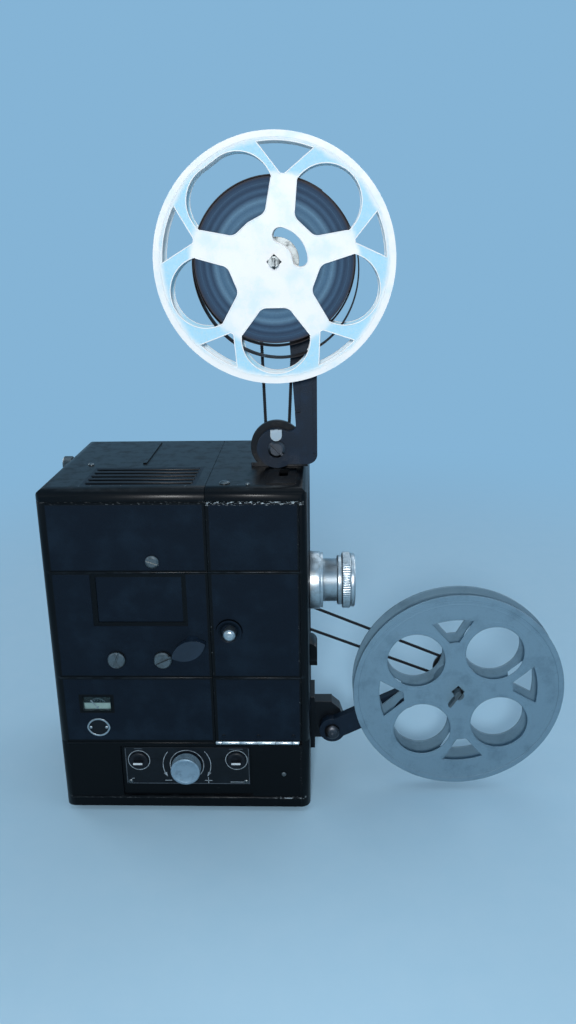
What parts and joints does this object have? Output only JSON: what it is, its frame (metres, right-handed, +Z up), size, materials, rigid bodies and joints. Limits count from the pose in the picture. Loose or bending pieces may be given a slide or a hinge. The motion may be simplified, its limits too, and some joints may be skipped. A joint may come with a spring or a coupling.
{
  "type": "film projector",
  "caption": "Black box-shaped 16 mm film projector with a hinged film door, side lens and two folding arms carrying perforated metal reels",
  "frame": {"origin": "on the table, under the middle of the whole machine's outline", "axes": "+X towards the lens and the take-up reel, +Y from the control side to the back, +Z up"},
  "size_m": [0.437, 0.183, 0.54],
  "materials": {
    "black_enamel": "semi-matt black enamel with a slight ripple, chipped at the edges",
    "gloss_black": "glossy black lacquer on castings",
    "nickel": "worn nickel plate",
    "dark_steel": "blued steel screw",
    "steel": "machined steel",
    "knob_aluminium": "turned pale aluminium",
    "reel_bright": "bright stamped aluminium, lightly brushed",
    "reel_grey": "dull grey stamped aluminium",
    "bakelite": "black moulded plastic",
    "rubber": "black rubber",
    "belt": "dark round belt",
    "film": "grey film base, edge on",
    "brass": "dull brass",
    "glass": "clear glass",
    "mirror": "polished reflector"
  },
  "bodies": {
    "chassis": {"base_casting": "black_enamel", "rubber_feet": "rubber", "lamp_house_casing": "black_enamel", "mechanism_casing": "black_enamel", "control_panel": "gloss_black", "cover_screws": "nickel", "ammeter_case": "bakelite", "door_hinge_leaf": "nickel", "door_hinge_pin": "nickel", "power_inlet": "bakelite", "lens_mount": "nickel", "mechanism_plate": "steel", "film_gate": "brass", "drive_motor": "black_enamel", "drive_belt": "belt", "projection_lamp": "glass", "lamp_socket": "brass", "lamp_reflector": "mirror", "condenser_tube": "steel", "condenser_lenses": "glass", "upper_bracket": "gloss_black", "pivot_screws": "dark_steel", "lower_bracket": "gloss_black"},
    "film_door": {"film_door": "black_enamel"},
    "door_knob": {"door_knob": "nickel"},
    "speed_knob": {"speed_knob": "knob_aluminium"},
    "lamp_switch": {"lamp_switch_knob": "bakelite"},
    "direction_switch": {"direction_switch_knob": "bakelite"},
    "still_lever": {"still_lever": "gloss_black"},
    "lamp_adjuster_left": {"lamp_adjuster_left": "nickel"},
    "lamp_adjuster_right": {"lamp_adjuster_right": "nickel"},
    "side_knob": {"side_knob": "nickel"},
    "ammeter_needle": {"ammeter_needle": "steel"},
    "lens": {"lens_barrel": "nickel", "lens_glass": "glass"},
    "focus_ring": {"focus_ring": "nickel"},
    "rotor": {"motor_rotor": "steel"},
    "shutter": {"shutter": "gloss_black"},
    "upper_sprocket": {"upper_sprocket": "steel"},
    "lower_sprocket": {"lower_sprocket": "steel"},
    "takeup_drive": {"takeup_drive_pulley": "steel"},
    "claw": {"claw_arm": "steel"},
    "pressure_plate": {"pressure_plate": "steel"},
    "upper_arm": {"upper_arm": "gloss_black", "upper_belt": "belt"},
    "arm_catch": {"arm_catch_button": "nickel"},
    "rewind_pulley": {"rewind_pulley": "steel"},
    "feed_reel": {"upper_spindle": "nickel", "upper_reel_front_flange": "reel_bright", "upper_reel_rear_flange": "reel_bright", "upper_reel_core": "reel_bright", "film_roll": "film"},
    "feed_catch": {"upper_spindle_catch": "nickel"},
    "lower_arm": {"lower_arm": "gloss_black", "takeup_belt": "belt"},
    "takeup_reel": {"lower_spindle": "nickel", "lower_reel_front_flange": "reel_grey", "lower_reel_rear_flange": "reel_grey", "lower_reel_core": "reel_grey"},
    "takeup_catch": {"lower_spindle_catch": "nickel"}
  },
  "joints": [
    {"name": "door_hinge", "type": "hinge", "parent": "chassis", "child": "film_door", "pos_m": [-0.0395, -0.0761, 0.0673], "axis": [1, 0, 0], "range_deg": [0, 100]},
    {"name": "door_knob_turn", "type": "hinge", "parent": "film_door", "child": "door_knob", "pos_m": [-0.059, -0.0765, 0.1705], "axis": [0, -1, 0], "range_deg": [0, 90]},
    {"name": "speed_turn", "type": "hinge", "parent": "chassis", "child": "speed_knob", "pos_m": [-0.1002, -0.0765, 0.0455], "axis": [0, -1, 0], "range_deg": [-135, 135]},
    {"name": "lamp_switch_turn", "type": "hinge", "parent": "chassis", "child": "lamp_switch", "pos_m": [-0.1405, -0.0765, 0.05], "axis": [0, -1, 0], "range_deg": [0, 90]},
    {"name": "direction_switch_turn", "type": "hinge", "parent": "chassis", "child": "direction_switch", "pos_m": [-0.0582, -0.0765, 0.0505], "axis": [0, -1, 0], "range_deg": [0, 90]},
    {"name": "still_lever_turn", "type": "hinge", "parent": "chassis", "child": "still_lever", "pos_m": [-0.0895, -0.0765, 0.1595], "axis": [0, -1, 0], "range_deg": [-30, 30]},
    {"name": "lamp_adjuster_left_turn", "type": "hinge", "parent": "chassis", "child": "lamp_adjuster_left", "pos_m": [-0.1516, -0.0765, 0.1455], "axis": [0, -1, 0], "range_deg": [-90, 90]},
    {"name": "lamp_adjuster_right_turn", "type": "hinge", "parent": "chassis", "child": "lamp_adjuster_right", "pos_m": [-0.1141, -0.0765, 0.1455], "axis": [0, -1, 0], "range_deg": [-90, 90]},
    {"name": "side_knob_turn", "type": "hinge", "parent": "chassis", "child": "side_knob", "pos_m": [-0.2065, 0.0515, 0.275], "axis": [-1, 0, 0], "range_deg": [-120, 120]},
    {"name": "needle_swing", "type": "hinge", "parent": "chassis", "child": "ammeter_needle", "pos_m": [-0.172, -0.0751, 0.0993], "axis": [0, 1, 0], "range_deg": [0, 76], "stiffness_Nm_per_rad": 0.002},
    {"name": "lens_slide", "type": "slide", "parent": "chassis", "child": "lens", "axis": [1, 0, 0], "range_m": [-0.002, 0.006]},
    {"name": "focus_turn", "type": "hinge", "parent": "lens", "child": "focus_ring", "pos_m": [0.0335, -0.0345, 0.1965], "axis": [1, 0, 0], "range_deg": [-65, 180]},
    {"name": "motor_spin", "type": "hinge", "parent": "chassis", "child": "rotor", "pos_m": [-0.1465, 0.0415, 0.112], "axis": [1, 0, 0], "continuous": true},
    {"name": "shutter_spin", "type": "hinge", "parent": "chassis", "child": "shutter", "pos_m": [-0.0665, 0.0155, 0.1965], "axis": [1, 0, 0], "continuous": true},
    {"name": "upper_sprocket_spin", "type": "hinge", "parent": "chassis", "child": "upper_sprocket", "pos_m": [-0.0415, -0.0345, 0.245], "axis": [0, -1, 0], "continuous": true},
    {"name": "lower_sprocket_spin", "type": "hinge", "parent": "chassis", "child": "lower_sprocket", "pos_m": [-0.0415, -0.0345, 0.135], "axis": [0, -1, 0], "continuous": true},
    {"name": "claw_stroke", "type": "slide", "parent": "chassis", "child": "claw", "axis": [0, 0, 1], "range_m": [-0.00381, 0.00381]},
    {"name": "pressure_plate_slide", "type": "slide", "parent": "chassis", "child": "pressure_plate", "axis": [1, 0, 0], "range_m": [0, 0.003], "stiffness_N_per_m": 400},
    {"name": "upper_arm_fold", "type": "hinge", "parent": "chassis", "child": "upper_arm", "pos_m": [-0.022, -0.0165, 0.305], "axis": [0, -1, 0], "range_deg": [0, 55]},
    {"name": "arm_catch_press", "type": "slide", "parent": "upper_arm", "child": "arm_catch", "axis": [0, 1, 0], "range_m": [0, 0.002], "stiffness_N_per_m": 600},
    {"name": "feed_reel_spin", "type": "hinge", "parent": "upper_arm", "child": "feed_reel", "pos_m": [-0.02, -0.0165, 0.451], "axis": [0, -1, 0], "continuous": true},
    {"name": "rewind_pulley_spin", "type": "hinge", "parent": "chassis", "child": "rewind_pulley", "pos_m": [-0.022, -0.002, 0.305], "axis": [0, -1, 0], "continuous": true},
    {"name": "feed_catch_fold", "type": "hinge", "parent": "feed_reel", "child": "feed_catch", "pos_m": [-0.02, -0.0485, 0.451], "axis": [1, 0, 0], "range_deg": [0, 90]},
    {"name": "lower_arm_fold", "type": "hinge", "parent": "chassis", "child": "lower_arm", "pos_m": [0.023, -0.0165, 0.0445], "axis": [0, -1, 0], "range_deg": [0, 12], "deforming": ["takeup_belt"]},
    {"name": "takeup_reel_spin", "type": "hinge", "parent": "lower_arm", "child": "takeup_reel", "pos_m": [0.1295, -0.0165, 0.0975], "axis": [0, -1, 0], "continuous": true},
    {"name": "takeup_drive_spin", "type": "hinge", "parent": "chassis", "child": "takeup_drive", "pos_m": [-0.0265, -0.0055, 0.161], "axis": [0, -1, 0], "continuous": true},
    {"name": "takeup_catch_unfold", "type": "hinge", "parent": "takeup_reel", "child": "takeup_catch", "pos_m": [0.1295, -0.0485, 0.0975], "axis": [-0.829, 0, 0.5592], "range_deg": [0, 90]}
  ],
  "couplings": [
    {"joint": "shutter_spin", "follows": "motor_spin", "ratio": 0.5},
    {"joint": "upper_sprocket_spin", "follows": "motor_spin", "ratio": -0.041667},
    {"joint": "lower_sprocket_spin", "follows": "motor_spin", "ratio": -0.041667},
    {"joint": "focus_turn", "follows": "lens_slide", "rad_per_m": 500},
    {"joint": "rewind_pulley_spin", "follows": "feed_reel_spin", "ratio": 1.6556},
    {"joint": "takeup_drive_spin", "follows": "takeup_reel_spin", "ratio": 0.81308}
  ]
}
